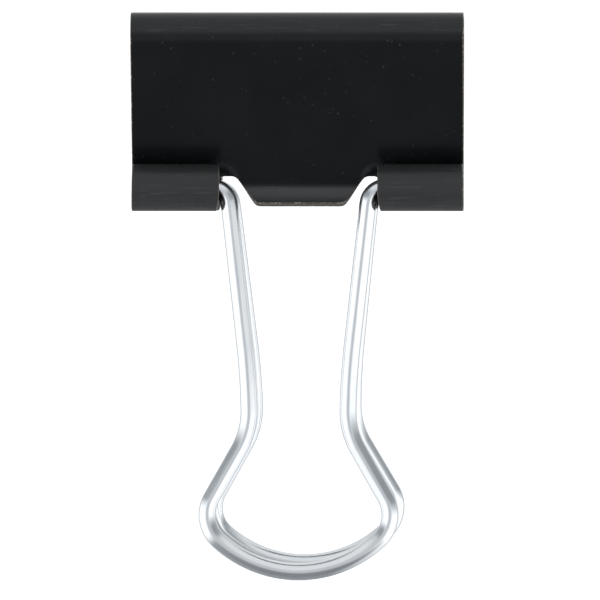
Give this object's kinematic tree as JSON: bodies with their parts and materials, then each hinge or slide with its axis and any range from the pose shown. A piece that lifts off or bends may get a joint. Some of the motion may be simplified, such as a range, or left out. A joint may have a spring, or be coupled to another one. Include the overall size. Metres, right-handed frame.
{
  "type": "binder clip",
  "caption": "Small rolled spring-steel binder clip with a wedge-shaped body and two sprung wire handles that fold back.",
  "frame": {"origin": "middle of the line where the two jaws meet, midway along the clip's width", "axes": "+Z from the jaws towards the spine, as the clip sits on the top edge of a hanging sheet; X along the spine; -Y towards the front face"},
  "size_m": [0.019, 0.0101, 0.0325],
  "materials": {
    "black_enamel": "smooth satin-gloss black stoving enamel on spring steel, worn a little at the bends and cut edges",
    "plated_wire": "bright nickel-plated drawn steel wire with fine lines along its length"
  },
  "bodies": {
    "spine": {"spine_panel": "black_enamel"},
    "front_flank": {"front_leaf": "black_enamel"},
    "rear_flank": {"rear_leaf": "black_enamel"},
    "front_wire": {"front_handle": "plated_wire"},
    "rear_wire": {"rear_handle": "plated_wire"}
  },
  "joints": [
    {"name": "front_leaf_flex", "type": "hinge", "parent": "spine", "child": "front_flank", "pos_m": [0, -0.0044, 0.00937], "axis": [-1, 0, 0], "range_deg": [0, 27], "stiffness_Nm_per_rad": 0.2},
    {"name": "rear_leaf_flex", "type": "hinge", "parent": "spine", "child": "rear_flank", "pos_m": [0, 0.0044, 0.00937], "axis": [1, 0, 0], "range_deg": [0, 27], "stiffness_Nm_per_rad": 0.2},
    {"name": "front_handle_swing", "type": "hinge", "parent": "front_flank", "child": "front_wire", "pos_m": [0, -0.00138, 0], "axis": [-1, 0, 0], "range_deg": [-2, 155]},
    {"name": "rear_handle_swing", "type": "hinge", "parent": "rear_flank", "child": "rear_wire", "pos_m": [0, 0.00138, 0], "axis": [1, 0, 0], "range_deg": [-11.5, 145.5]}
  ],
  "couplings": [
    {"joint": "rear_leaf_flex", "follows": "front_leaf_flex", "ratio": 1}
  ]
}
